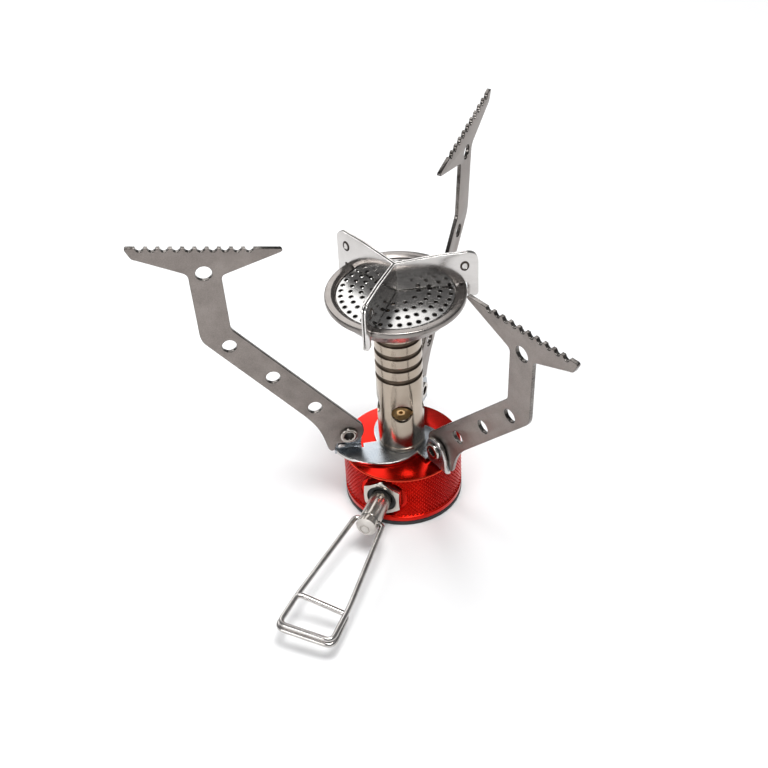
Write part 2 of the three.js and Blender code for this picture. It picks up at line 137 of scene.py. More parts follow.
def make_light(name, place, target, size, power):
    """A rectangular softbox of that size in metres, aimed at the target."""
    data = bpy.data.lights.new(name, "AREA")
    data.shape = "RECTANGLE"
    data.size, data.size_y = size
    data.energy = power
    light = linked(name, data)
    light.location = place
    light.rotation_euler = (Vector(target) - Vector(place)).to_track_quat("-Z", "Y").to_euler()


def make_studio():
    make_light("window", (-0.535, 0.516, 0.669), (0, 0, 0), (0.87, 0.8), 4.4)
    make_light("overhead", (0.2, -0.15, 1.1), (0, 0, 0), (0.45, 0.45), 9.8)
    make_light("front", (-0.3, -0.95, 0.4), (0, 0, 0.03), (0.35, 0.35), 2.6)
    world = bpy.data.worlds.new("studio")
    world.use_nodes = True
    background = world.node_tree.nodes["Background"]
    background.inputs["Color"].default_value = (0.95, 0.97, 1, 1)
    background.inputs["Strength"].default_value = 0.24
    scene.world = world
    scene.view_settings.view_transform = "Standard"
    floor_half, white = 2.5, 0.93
    bm = bmesh.new()
    bmesh.ops.create_grid(bm, x_segments=8, y_segments=8, size=floor_half)
    mesh = mesh_of(bm)
    made, _, _, shader = new_material("floor_white")
    shader.inputs["Base Color"].default_value = (white, white, white, 1)
    shader.inputs["Roughness"].default_value = 0.35
    shader.inputs["Specular IOR Level"].default_value = 0.25
    mesh.materials.append(made)
    linked("floor", mesh)


# ---------------------------------------------------------------- materials

def new_material(name):
    """A material, its nodes, its links and its shader."""
    made = bpy.data.materials.new(name)
    made.use_nodes = True
    nodes, links = made.node_tree.nodes, made.node_tree.links
    return made, nodes, links, nodes["Principled BSDF"]


def noise(nodes, links, coordinate, grain, detail):
    """A noise whose grains measure grain (x, y, z) millimetres."""
    mapping = nodes.new("ShaderNodeMapping")
    mapping.inputs["Scale"].default_value = [1 / (MM * size) for size in grain]
    links.new(coordinate, mapping.inputs["Vector"])
    texture = nodes.new("ShaderNodeTexNoise")
    texture.inputs["Scale"].default_value = 1
    texture.inputs["Detail"].default_value = detail
    links.new(mapping.outputs["Vector"], texture.inputs["Vector"])
    return texture.outputs["Fac"]


def ramp(nodes, links, factor, *stops):
    """A colour ramp with two (position, colour) stops."""
    node = nodes.new("ShaderNodeValToRGB")
    for element, (position, colour) in zip(node.color_ramp.elements, stops):
        element.position = position
        element.color = (*colour, 1)
    links.new(factor, node.inputs["Fac"])
    return node.outputs["Color"]


def spread(nodes, links, factor, lowest, highest):
    """Stretches the middle of a noise's range from lowest to highest."""
    node = nodes.new("ShaderNodeMapRange")
    node.inputs["From Min"].default_value = 0.3
    node.inputs["From Max"].default_value = 0.7
    node.inputs["To Min"].default_value = lowest
    node.inputs["To Max"].default_value = highest
    links.new(factor, node.inputs["Value"])
    return node.outputs["Result"]


def round_axis(nodes, links, coordinate):
    """(distance from the Z axis, 0, height): constant along a lathe's tool marks."""
    split = nodes.new("ShaderNodeSeparateXYZ")
    links.new(coordinate, split.inputs["Vector"])
    flat = nodes.new("ShaderNodeCombineXYZ")
    links.new(split.outputs["X"], flat.inputs["X"])
    links.new(split.outputs["Y"], flat.inputs["Y"])
    length = nodes.new("ShaderNodeVectorMath")
    length.operation = "LENGTH"
    links.new(flat.outputs["Vector"], length.inputs[0])
    joined = nodes.new("ShaderNodeCombineXYZ")
    links.new(length.outputs["Value"], joined.inputs["X"])
    links.new(split.outputs["Z"], joined.inputs["Z"])
    return joined.outputs["Vector"]


def metal(name, dark, light, roughness, grain, depth, turned=False, metallic=1.0, coat=0.0):
    """Metal with a fine grain (x, y, z), cut depth deep, both in millimetres, and faint larger patches."""
    fine_share, patch, dark_end, light_end = 0.45, 6, 0.35, 0.65
    made, nodes, links, shader = new_material(name)
    coordinate = nodes.new("ShaderNodeTexCoord").outputs["Object"]
    along = round_axis(nodes, links, coordinate) if turned else coordinate
    fine = noise(nodes, links, along, grain, detail=4)
    broad = noise(nodes, links, coordinate, (patch, patch, patch), detail=5)
    broad_part = nodes.new("ShaderNodeMath")
    broad_part.operation = "MULTIPLY"
    broad_part.inputs[1].default_value = 1 - fine_share
    links.new(broad, broad_part.inputs[0])
    mixed = nodes.new("ShaderNodeMath")
    mixed.operation = "MULTIPLY_ADD"
    mixed.inputs[1].default_value = fine_share
    links.new(fine, mixed.inputs[0])
    links.new(broad_part.outputs["Value"], mixed.inputs[2])
    blend = mixed.outputs["Value"]
    links.new(ramp(nodes, links, blend, (dark_end, dark), (light_end, light)), shader.inputs["Base Color"])
    links.new(spread(nodes, links, blend, *roughness), shader.inputs["Roughness"])
    bump = nodes.new("ShaderNodeBump")
    bump.inputs["Strength"].default_value = 1
    bump.inputs["Distance"].default_value = depth * MM
    links.new(fine, bump.inputs["Height"])
    links.new(bump.outputs["Normal"], shader.inputs["Normal"])
    shader.inputs["Metallic"].default_value = metallic
    shader.inputs["Coat Weight"].default_value = coat
    shader.inputs["Coat Roughness"].default_value = 0.12
    return made


def grained(name, dark, light, roughness, grain, depth):
    """A material with no metal in it, such as rubber."""
    return metal(name, dark, light, roughness, (grain,) * 3, depth, metallic=0.0)


# Each metal's darkest and lightest colour, its roughness range, its grain and the grain's depth.
RED = metal("red_anodised", (0.52, 0.007, 0.003), (0.66, 0.014, 0.006), (0.16, 0.26),
            (0.05, 0.05, 0.05), 0.0006, turned=True, coat=0.04)
# The second red is lighter and goes on the crown's outer edge: a painted highlight.
RED_EDGE_HIGHLIGHT = metal("red_painted_highlight", (0.75, 0.035, 0.015), (0.88, 0.08, 0.04), (0.16, 0.26),
                 (0.05, 0.05, 0.05), 0.0004, turned=True, coat=0.1)
RUBBER = grained("black_rubber", (0.008, 0.008, 0.009), (0.022, 0.022, 0.024), (0.5, 0.7), 0.15, 0.006)
BRASS = metal("turned_brass", (0.66, 0.39, 0.15), (0.92, 0.60, 0.27), (0.25, 0.4),
              (0.08, 0.08, 0.08), 0.001, turned=True, metallic=0.5)
NICKEL_TUBE = metal("tube_nickel", (0.34, 0.285, 0.23), (0.48, 0.41, 0.34), (0.13, 0.26),
                    (0.12, 0.12, 0.06), 0.0012, turned=True)
NICKEL = metal("bright_nickel", (0.46, 0.43, 0.39), (0.64, 0.60, 0.56), (0.13, 0.24), (0.3, 0.3, 0.3), 0.0012)
SPINDLE_STEEL = metal("spindle_steel", (0.44, 0.405, 0.365), (0.56, 0.52, 0.48), (0.22, 0.28),
                      (0.1, 0.1, 0.1), 0.0006, turned=True)
CAP_STEEL = metal("spindle_cap", (0.57, 0.53, 0.49), (0.72, 0.68, 0.64), (0.38, 0.5),
                  (0.12, 0.12, 0.12), 0.002, metallic=0.1)
GROOVE = metal("groove_shadow", (0.035, 0.025, 0.018), (0.15, 0.115, 0.085), (0.25, 0.4),
               (0.1, 0.1, 0.1), 0.001)
CUP_STEEL = metal("cup_steel", (0.20, 0.182, 0.170), (0.32, 0.295, 0.278), (0.20, 0.34),
                  (0.12, 0.12, 0.12), 0.0012, turned=True)
PLATE_STEEL = metal("plate_steel", (0.42, 0.41, 0.40), (0.58, 0.57, 0.555), (0.16, 0.27),
                    (0.25, 0.25, 0.25), 0.0012)
VANE_STEEL = metal("vane_steel", (0.54, 0.52, 0.505), (0.66, 0.64, 0.625), (0.12, 0.22),
                   (2.5, 2.5, 0.12), 0.0007)
# A lighter steel for the rounded edges of the vanes and the bracket: a painted highlight along them.
EDGE_GLINT = metal("painted_edge_glint", (0.34, 0.325, 0.31), (0.80, 0.78, 0.76), (0.12, 0.30),
                (0.5, 0.5, 0.15), 0.003)
ARM_STEEL = metal("tumbled_steel", (0.205, 0.180, 0.166), (0.32, 0.285, 0.265), (0.30, 0.46),
                  (0.3, 0.3, 0.3), 0.010)
# A darker steel for the arms' edges: painted shade along them.
ARM_EDGE_SHADE = metal("arm_painted_edge_shade", (0.03, 0.026, 0.023), (0.26, 0.24, 0.225), (0.13, 0.30), (0.8, 0.8, 0.4), 0.004)
ZINC = metal("zinc_plate", (0.27, 0.300, 0.33), (0.46, 0.49, 0.52), (0.18, 0.40), (0.28, 0.28, 0.28), 0.014)
# Near-black for the rivets' bores and the rings round the vane clinches: painted shade.
PAINTED_SHADE = grained("painted_shade_black", (0.012, 0.008, 0.005), (0.04, 0.026, 0.017), (0.5, 0.7), 0.2, 0.004)
WIRE = metal("drawn_wire", (0.40, 0.38, 0.365), (0.58, 0.555, 0.535), (0.12, 0.26), (0.12, 1.5, 0.12), 0.001)


# ---------------------------------------------------------------- outlines and meshes

class Outline:
    """A flat outline, drawn from point to point."""

    def __init__(self, x, y):
        self.points = [Vector((x, y))]

    def line(self, x, y):
        self.points.append(Vector((x, y)))
        return self

    def curve(self, *controls, steps=8):
        """A Bezier curve of second or third order; the last control is its end."""
        handles = [self.points[-1]] + [Vector(point) for point in controls]
        for step in range(1, steps + 1):
            t = step / steps
            level = handles
            while len(level) > 1:
                level = [a.lerp(b, t) for a, b in zip(level, level[1:])]
            self.points.append(level[0])
        return self

    def arc(self, x, y, radius, start, end, steps):
        """An arc round (x, y) from one angle to another; it begins with its own first point."""
        for step in range(steps + 1):
            angle = start + (end - start) * step / steps
            self.points.append(Vector((x + radius * math.cos(angle), y + radius * math.sin(angle))))
        return self


def circle(x, y, radius, steps=40):
    first = 2 * math.pi / steps
    return Outline(x + radius, y).arc(x, y, radius, first, 2 * math.pi * (1 - 1 / steps), steps - 2).points


def rounded(corners, steps=5):
    """A closed outline of (x, y, radius) corners."""
    points = []
    for i, corner in enumerate(corners):
        here = Vector(corner[:2])
        radius = corner[2] if len(corner) > 2 else 0
        back = (Vector(corners[i - 1][:2]) - here).normalized()
        ahead = (Vector(corners[(i + 1) % len(corners)][:2]) - here).normalized()
        if radius == 0:
            points.append(here)
            continue
        run = radius / math.tan(back.angle(ahead) / 2)
        start, end = here + back * run, here + ahead * run
        for step in range(steps + 1):
            t = step / steps
            points.append(start.lerp(here, t).lerp(here.lerp(end, t), t))
    return points


def area(points):
    """The signed area of a closed outline: positive when it runs counterclockwise."""
    return sum(a.x * b.y - b.x * a.y for a, b in zip(points, points[1:] + points[:1])) / 2


def mesh_of(bm):
    mesh = bpy.data.meshes.new("piece")
    bm.to_mesh(mesh)
    bm.free()
    return mesh


def evaluated(holder):
    """The finished mesh of a temporary object, which is removed."""
    bpy.context.view_layer.update()
    mesh = bpy.data.meshes.new_from_object(holder.evaluated_get(bpy.context.evaluated_depsgraph_get()))
    bpy.data.objects.remove(holder)
    return mesh


def plate(outline, holes, thickness, bevel, steps=2):
    """A flat plate in X and Y, centred on Z, with rounded edges, which take the second material."""
    weld, flat = 1e-4, 0.99
    curve = bpy.data.curves.new("outline", "CURVE")
    curve.dimensions = "2D"
    curve.fill_mode = "BOTH"
    curve.extrude = thickness / 2 - bevel
    curve.bevel_depth = bevel
    curve.bevel_resolution = steps
    curve.offset = -bevel
    for index, loop in enumerate([outline] + holes):
        wanted = 1 if index == 0 else -1
        if area(loop) * wanted < 0:
            loop = loop[::-1]
        spline = curve.splines.new("POLY")
        spline.points.add(len(loop) - 1)
        for point, place in zip(spline.points, loop):
            point.co = (place.x, place.y, 0, 1)
        spline.use_cyclic_u = True
    mesh = evaluated(linked("outline", curve))
    bpy.data.curves.remove(curve)
    bm = bmesh.new()
    bm.from_mesh(mesh)
    bmesh.ops.remove_doubles(bm, verts=bm.verts, dist=weld)
    bmesh.ops.recalc_face_normals(bm, faces=bm.faces)
    for face in bm.faces:
        face.material_index = 0 if abs(face.normal.z) > flat else 1
    bpy.data.meshes.remove(mesh)
    return mesh_of(bm)


def turned(profile, segments=128):
    """A closed profile of (radius, height) points turned round Z."""
    if area([Vector(point) for point in profile]) < 0:
        raise ValueError("the profile runs the wrong way")
    on_axis = 1e-6
    bm = bmesh.new()
    rings = []
    for radius, height in profile:
        count = 1 if radius < on_axis else segments
        rings.append([bm.verts.new((radius * math.cos(2 * math.pi * i / segments),
                                    radius * math.sin(2 * math.pi * i / segments), height))
                      for i in range(count)])
    for ring, after in zip(rings, rings[1:] + rings[:1]):
        if len(ring) == 1 and len(after) == 1:
            continue
        for i in range(segments):
            j = (i + 1) % segments
            corners = [ring[i % len(ring)], ring[j % len(ring)], after[j % len(after)], after[i % len(after)]]
            bm.faces.new(list(dict.fromkeys(corners)))
    return mesh_of(bm)


def profile(corners, steps=4):
    """A section of (radius, height, rounding) corners as plain points."""
    return [tuple(point) for point in rounded(corners, steps)]


def rod(radius, start, end, segments=32):
    return turned([(0, start), (radius, start), (radius, end), (0, end)], segments)


def joined(*meshes):
    bm = bmesh.new()
    for mesh in meshes:
        bm.from_mesh(mesh)
        bpy.data.meshes.remove(mesh)
    return mesh_of(bm)


def moved(mesh, matrix):
    mesh.transform(matrix)
    return mesh


def with_modifier(mesh, kind, **settings):
    """The mesh with one modifier applied."""
    holder = linked("holder", mesh)
    modifier = holder.modifiers.new("m", kind)
    for key, value in settings.items():
        setattr(modifier, key, value)
    made = evaluated(holder)
    bpy.data.meshes.remove(mesh)
    return made


def cut(mesh, cutter, operation="DIFFERENCE"):
    tool = linked("cutter", cutter)
    made = with_modifier(mesh, "BOOLEAN", object=tool, operation=operation, solver="EXACT")
    bpy.data.objects.remove(tool)
    bpy.data.meshes.remove(cutter)
    return made


def bevelled(mesh, width, angle=30):
    return with_modifier(mesh, "BEVEL", width=width, segments=2, limit_method="ANGLE",
                         angle_limit=math.radians(angle), harden_normals=False)


def placed(name, mesh, node, body, materials, matrix=Matrix.Identity(4), sharp=32):
    """Puts a finished mesh in the scene, in metres, in place of its CAD node."""
    mesh.transform(Matrix.Scale(MM, 4) @ matrix)
    mesh.name = name
    indices = [face.material_index for face in mesh.polygons]
    mesh.materials.clear()
    for made in materials:
        mesh.materials.append(made)
    mesh.polygons.foreach_set("material_index", indices)
    mesh.polygons.foreach_set("use_smooth", [True] * len(mesh.polygons))
    mesh.set_sharp_from_angle(angle=math.radians(sharp))
    piece = linked(name, mesh)
    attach(piece, body)
    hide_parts(node)
    return piece


UPRIGHT = Matrix.Rotation(math.pi / 2, 4, "X")
TO_SPINDLE = Matrix.Translation((0, 0, SPINDLE_Z)) @ UPRIGHT


def upright(y):
    """Stands a plate on edge: its Y becomes up, and its middle plane is at y."""
    return Matrix.Translation((0, y, 0)) @ UPRIGHT


def at_pivot(turn, lean):
    """The frame of an arm's rivet: X outward, Y round, Z up."""
    return (Matrix.Rotation(turn, 4, "Z") @ Matrix.Translation((PIVOT[0], 0, PIVOT[1]))
            @ Matrix.Rotation(-lean, 4, "X"))


# ---------------------------------------------------------------- valve body

def knurled_body():
    """The body's section turned, with diamonds pressed into its side."""
    diamonds, rows, depth = 92, 18, 0.42
    columns = 2 * diamonds
    cavity_r, cavity_top, skirt_r, skirt_top = 7.1, 8.4, 13.4, 5.5
    seat_r, seat_floor = 4.7, 12.9
    inner = [(0, cavity_top), (cavity_r, cavity_top), (cavity_r, skirt_top), (skirt_r, skirt_top),
             (skirt_r, BODY_BOTTOM)]
    # From here to the crown, each pair is the distance in from BASE_R and the height.
    foot = [(0.25, BODY_BOTTOM), (0.1, BODY_BOTTOM + 0.05), (0.05, BODY_BOTTOM + 0.2), (0.05, 3.0),
            (0.12, 3.06), (0.3, 3.15), (0.35, 3.3), (0.3, 3.45), (0.12, 3.54), (0.08, 3.6)]
    side = [(0.12, KNURL_BOTTOM + (KNURL_TOP - KNURL_BOTTOM) * row / rows) for row in range(rows + 1)]
    crown = [(0.1, BODY_TOP - 0.42), (0.16, BODY_TOP - 0.2), (0.3, BODY_TOP - 0.06), (0.5, BODY_TOP)]
    outer = [(BASE_R - inset, height) for inset, height in foot + side + crown]
    seat = [(8, BODY_TOP), (seat_r, BODY_TOP), (seat_r, seat_floor), (0, seat_floor)]
    mesh = turned(inner + outer + seat, columns)
    bm = bmesh.new()
    bm.from_mesh(mesh)
    bm.verts.ensure_lookup_table()
    # The first ring is a single vertex on the axis.
    start = 1 + (len(inner) + len(foot) - 1) * columns
    side_verts, deep = set(), set()
    for row in range(rows + 1):
        for column in range(columns):
            vert = bm.verts[start + row * columns + column]
            side_verts.add(vert)
            pressed = (row + column) % 2 == 0
            radius = BASE_R - depth if pressed else BASE_R
            vert.co.x, vert.co.y = vert.co.xy.normalized() * radius
            if pressed:
                deep.add(vert)
    for face in [f for f in bm.faces if len(f.verts) == 4 and all(v in side_verts for v in f.verts)]:
        bmesh.utils.face_split(face, *[v for v in face.verts if v in deep])
    bpy.data.meshes.remove(mesh)
    floor, shank_r, nut_seat, nut_r, outside = 10.7, 4.8, 15, 6.9, 20
    pocket = turned([(0, floor), (shank_r, floor), (shank_r, nut_seat), (nut_r, nut_seat), (nut_r, outside),
                     (0, outside)], 64)
    return cut(mesh_of(bm), moved(pocket, TO_SPINDLE))


def base_ring():
    inner_r, lip_r, lip_top = 12.3, 13.1, 4.9
    return turned(profile([
        (inner_r, 0.35, 0.15), (lip_r - 0.3, 0, 0.1), (BASE_R - 0.1, 0, 0.35), (BASE_R, 1.4, 0.12),
        (BASE_R - 0.35, RING_TOP, 0.1), (lip_r, RING_TOP), (lip_r, lip_top), (inner_r, lip_top)]))


def threaded_collar():
    """The collar, with a right-hand screw thread cut in its bore."""
    radius, pitch, depth, steps, segments = 5.55, 0.907, 0.42, 8, 64
    thread_bottom, thread_top = 1.9, 7.6
    outer_r, bottom, top = 6.8, 1.2, 8.1
    count = int((thread_top - thread_bottom) / pitch * steps)
    mouth = [(outer_r, bottom + 0.1), (outer_r - 0.1, bottom), (radius + 0.6, bottom)]
    rings = [[corner] * segments for corner in mouth]
    for step in range(count + 1):
        z = thread_bottom + (thread_top - thread_bottom) * step / count
        phases = [(z / pitch - i / segments) % 1 for i in range(segments)]
        rings.append([(radius + depth * (1 - abs(2 * phase - 1)), z) for phase in phases])
    rings += [[(radius, top)] * segments, [(outer_r, top)] * segments]
    angles = [2 * math.pi * i / segments for i in range(segments)]
    bm = bmesh.new()
    verts = [[bm.verts.new((r * math.cos(angle), r * math.sin(angle), z))
              for angle, (r, z) in zip(angles, ring)] for ring in rings]
    for ring, after in zip(verts, verts[1:] + verts[:1]):
        for i in range(segments):
            j = (i + 1) % segments
            bm.faces.new((after[i], after[j], ring[j], ring[i]))
    bmesh.ops.recalc_face_normals(bm, faces=bm.faces)
    return mesh_of(bm)


def make_base():
    body = placed("body_knurled", knurled_body(), "valve_body", "root", [RED, RED_EDGE_HIGHLIGHT],
                  sharp=24)
    edge, knurl_start = 0.5, 3.7
    # Faces round the crown's outer edge take the lighter red, a painted highlight.
    for face in body.data.polygons:
        outside = face.center.xy.length > (BASE_R - edge) * MM
        face.material_index = 1 if outside and face.center.z > (BODY_TOP - edge) * MM else 0
        face.use_smooth = not (outside and knurl_start * MM < face.center.z < KNURL_TOP * MM)
    placed("body_foot_ring", base_ring(), "base_ring", "root", [RUBBER])
    placed("collar_threaded", threaded_collar(), "canister_collar", "root", [BRASS], sharp=24)
    pin_r, flange_r, flange_bottom, flange_top = 1.1, 2.6, 7.2, 8.1
    pin = turned(profile([
        (0, 3.6), (0.8, 3.6, 0.15), (pin_r, 4.1, 0.2), (pin_r, flange_bottom, 0.2),
        (flange_r, flange_bottom, 0.2), (flange_r, flange_top, 0.1), (0, flange_top)]), 32)
    placed("canister_pin", pin, "valve_pin", "root", [BRASS])
    for name, node, radius, section, matrix in [
            ("canister_o_ring", "canister_seal", 4.6, 0.62, Matrix.Translation((0, 0, 7.4))),
            ("spindle_o_ring", "spindle_seal", 2.55, 0.43, TO_SPINDLE @ Matrix.Translation((0, 0, 10.1)))]:
        ring = [tuple(point) for point in circle(radius, 0, section, 20)]
        placed(name, turned(ring, 64), node, "root", [RUBBER], matrix)


# ---------------------------------------------------------------- jet, tube, cup and perforated plate

def make_jet():
    bore_r, stub_r, socket_r, stub_bottom, socket_floor, stub_top = 0.9, 4.4, 2.5, 13.2, 20, 24.6
    stub = turned(profile([
        (bore_r, stub_bottom), (stub_r, stub_bottom, 0.2), (stub_r, stub_top, 0.35),
        (socket_r, stub_top, 0.2), (socket_r, socket_floor), (bore_r, socket_floor)]), 64)
    placed("jet_stub", stub, "jet_holder", "root", [NICKEL_TUBE])
    thread_r, disc_bottom, disc_top = 2.2, 20.3, 21.6
    disc = turned(profile([(0, disc_bottom), (thread_r, disc_bottom, 0.2), (thread_r, disc_top, 0.2),
                           (0, disc_top)]), 32)
    placed("filter_disc", disc, "jet_filter", "root", [BRASS])
    corner_r, hexagon_middle, orifice_r, jet_bottom, jet_top = 4.3, 25.55, 0.3, 22.4, 28
    turns = [math.pi / 3 * i for i in range(6)]
    hexagon = plate([Vector((corner_r * math.sin(turn), corner_r * math.cos(turn))) for turn in turns],
                    [circle(0, 0, 2.4)], 1.3, 0.12)
    nozzle = turned(profile([
        (orifice_r, jet_bottom), (thread_r, jet_bottom, 0.2), (thread_r, 26), (3.8, 26, 0.1),
        (3.5, 26.9, 0.2), (2.6, 27.6, 0.3), (1.2, jet_top, 0.2), (0.65, jet_top), (orifice_r, 27.2)]), 64)
    both = joined(moved(hexagon, Matrix.Translation((0, 0, hexagon_middle))), nozzle)
    placed("jet_nozzle", both, "gas_jet", "root", [BRASS, BRASS])


def burner_tube():
    """The tube: a line round its foot, four air holes, and four grooves, which take the second material."""
    sleeve_r, sleeve_top, line_z, line_depth = 4.7, 23.5, 20.0, 0.2
    groove_heights, groove_depth, groove_zone = (44.0, 48.3, 52.5, 56.8), 0.5, (42, 59)
    hole_r, hole_z, hole_turn = 3, 32.8, math.radians(25.5)
    corners = [(sleeve_r, TUBE_BOTTOM), (TUBE_R, TUBE_BOTTOM, 0.3), (TUBE_R, line_z, 0.05),
               (TUBE_R - line_depth, line_z + 0.1, 0.05), (TUBE_R - line_depth, line_z + 0.3, 0.05),
               (TUBE_R, line_z + 0.4, 0.05)]
    for height in groove_heights:
        corners += [(TUBE_R, height - 0.8, 0.1), (TUBE_R - groove_depth, height - 0.5, 0.2),
                    (TUBE_R - groove_depth, height + 0.5, 0.2), (TUBE_R, height + 0.8, 0.1)]
    corners += [(TUBE_R, TUBE_TOP), (TUBE_BORE, TUBE_TOP), (TUBE_BORE, sleeve_top), (sleeve_r, sleeve_top)]
    mesh = turned(profile(corners))
    for turn in (hole_turn, hole_turn + math.pi / 2):
        drill = moved(rod(hole_r, -10, 10, 48), Matrix.Translation((0, 0, hole_z))
                      @ Matrix.Rotation(turn, 4, "Z") @ UPRIGHT)
        mesh = cut(mesh, drill)
    mesh = bevelled(mesh, 0.12)
    for face in mesh.polygons:
        inside = TUBE_BORE + 0.2 < face.center.xy.length < TUBE_R - 0.12
        face.material_index = 1 if inside and groove_zone[0] < face.center.z < groove_zone[1] else 0
    return mesh


def burner_cup():
    """The spun cup with its sleeve round the tube, its flared bowl and its rolled rim."""
    sleeve_r, sleeve_sheet, sleeve_bottom, bead = TUBE_R + 0.3, 0.6, 58.8, RIM_TOP - 1.7
    return turned(profile([
        (sleeve_r, sleeve_bottom, 0.1), (sleeve_r + sleeve_sheet, sleeve_bottom, 0.15),
        (sleeve_r + sleeve_sheet, 62.3, 0.8), (13.2, 63.4, 1.2), (14.7, 64.4, 0.8),
        (16.9, RIM_TOP - 1.9, 0.5), (17.5, bead, 0.3), (RIM_R - 0.1, bead, 0.35),
        (RIM_R, RIM_TOP - 0.9, 0.3), (RIM_R - 0.1, RIM_TOP, 0.55), (17.2, RIM_TOP + 0.1, 0.5),
        (16.1, RIM_TOP - 0.45, 0.3), (16.1, 69.2, 0.1), (15.2, 69.2, 0.3), (13.6, 65, 0.6),
        (12.6, 64.2, 0.6), (sleeve_r, 63.1)]), 160)


def dome(radius):
    """The height of the perforated plate's upper face."""
    return DOME_TOP - (radius / PLATE_R) ** 2.5


def perforated_plate():
    """The domed plate, with punched holes whose edges stand up a little."""
    rings = [(14.66, 36), (11.92, 30), (9.1, 24), (6.2, 12)]
    sheet, hole_r, steps = 0.6, 0.64, 24
    radii = [PLATE_R * step / steps for step in range(steps + 1)]
    upper = [(r, dome(r)) for r in radii]
    below = [(r, z - sheet) for r, z in upper]
    mesh = turned(below + upper[::-1], 144)
    drills, lips = [], []
    for radius, count in rings:
        slope = (dome(radius + 0.1) - dome(radius - 0.1)) / 0.2
        for i in range(count):
            angle = (i + 0.5) / count * 2 * math.pi
            spot = Matrix.Rotation(angle, 4, "Z") @ Matrix.Translation((radius, 0, dome(radius)))
            drills.append(moved(rod(hole_r, -3, 3, 20), spot))
            lip = turned(profile([(0.63, -0.2), (0.83, -0.02), (0.74, 0.06), (0.66, 0.05)], 1), 20)
            lips.append(moved(lip, spot @ Matrix.Rotation(-math.atan(slope), 4, "Y")))
    mesh = cut(mesh, joined(*drills))
    return joined(mesh, *lips)


def make_burner():
    placed("tube_turned", burner_tube(), "burner_tube", "root", [NICKEL_TUBE, GROOVE])
    placed("cup_spun", burner_cup(), "burner_cup", "root", [CUP_STEEL])
    placed("plate_perforated", perforated_plate(), "burner_plate", "root", [PLATE_STEEL])


# ---------------------------------------------------------------- wind vanes

def wing_outline(start):
    """A wing from its fold outward: it stands on the plate, hooks over the rim and hangs outside it."""
    gap, slot_top, slot_side, hook, outer, top = 0.35, RIM_TOP + 0.45, RIM_R + 0.35, 66.5, 22.3, 80.5
    return rounded([
        (start, DOME_TOP + gap), (8.5, dome(8.5) + gap), (15.3, dome(15.3) + 0.4, 0.3), (15.9, slot_top, 0.2),
        (slot_side, slot_top, 0.4), (slot_side, hook, 0.6), (outer, hook, 1.2), (outer, top, 3.2),
        (12, top - 0.05, 4), (start, top - 1)], 8)


def clinch():
    """A small lanced tab that locks the two plies of a vane together, seen from its raised side."""
    stretch, shadow_r = 1.25, 0.75
    button = turned(profile([(0, 0), (1.25, 0), (1.15, 0.16, 0.1), (0.8, 0.22, 0.1), (0.7, 0.1, 0.08),
                             (0, 0.1)]), 32)
    # Faces beyond shadow_r take the third material: a painted shadow ring round the raised button.
    for face in button.polygons:
        face.material_index = 2 if face.center.xy.length > shadow_r else 0
    return moved(button, Matrix.Scale(stretch, 4, (0, 1, 0)))


def wind_vane(start, end):
    """One sheet, folded down the middle: a wing at one angle, a rounded fold, and a wing at the other."""
    middle, fold = VANE_SHEET / 2 + 0.15, 0.5
    mark_r, mark_z = 18.6, 76.4
    bottom, top = DOME_TOP + 0.36, 79.46
    opening = (end - start) % (2 * math.pi) / 2
    corner = middle / math.tan(opening)
    tangent = corner + fold / math.tan(opening)
    pieces = []
    for angle, side in ((start, 1), (end, -1)):
        turn = Matrix.Rotation(angle, 4, "Z")
        wing = plate(wing_outline(tangent), [], VANE_SHEET, 0.07)
        pieces.append(moved(wing, turn @ upright(side * middle)))
        mark = Matrix.Translation((mark_r, side * (middle + VANE_SHEET / 2), mark_z))
        pieces.append(moved(clinch(), turn @ mark @ Matrix.Rotation(-side * math.pi / 2, 4, "X")))
    centre = middle / math.sin(opening) + fold / math.sin(opening)
    swing = math.pi / 2 - opening
    near, far = math.pi - swing, math.pi + swing
    inner_r, outer_r = fold - VANE_SHEET / 2, fold + VANE_SHEET / 2
    band = Outline(outer_r * math.cos(near), outer_r * math.sin(near))
    band.arc(0, 0, outer_r, near, far, 10).arc(0, 0, inner_r, far, near, 10)
    strip = plate(band.points[1:], [], top - bottom, 0.05)
    place = Matrix.Rotation(start + opening, 4, "Z") @ Matrix.Translation((centre, 0, (top + bottom) / 2))
    pieces.append(moved(strip, place))
    return joined(*pieces)


def make_vanes():
    for name, start, end in [("right", "front", "right"), ("rear", "right", "left"),
                             ("left", "left", "front")]:
        vane = wind_vane(VANES[start], VANES[end])
        # The vane's edges take the lighter steel, a painted highlight; the third material is a painted shadow
        # round each clinch.
        placed("vane_" + name, vane, "wind_vane_" + name, "root", [VANE_STEEL, EDGE_GLINT, PAINTED_SHADE])


# ---------------------------------------------------------------- arm bracket

def pinwheel():
    """The flat of the bracket: three lobes, each cut back where its ear bends up."""
    hub_r, notch, tip, overlap, rivet_height = 7.4, 11.4, 19.3, 0.15, 6
    next_lobe = math.radians(114)
    points = []
    for turn, lean, _ in STATIONS.values():
        edge = EAR_SIDE + BEND_OUT - overlap - lean * rivet_height
        lobe = Outline(hub_r, EAR_SIDE).line(notch, EAR_SIDE).line(notch, edge).line(tip, edge)
        lobe.curve((17.6, 5.4), (11.5, 9.7), (5.1, 9.9), steps=20)
        lobe.curve((1.5, 10), (-2, 8.6), (-5.5, 4.4), steps=16)
        kept = [point for point in lobe.points if math.atan2(point.y, point.x) < next_lobe]
        points += [Matrix.Rotation(turn, 2) @ point for point in kept]
    return plate(points, [circle(0, 0, 4.75, 64)], SHEET, 0.28, steps=3)


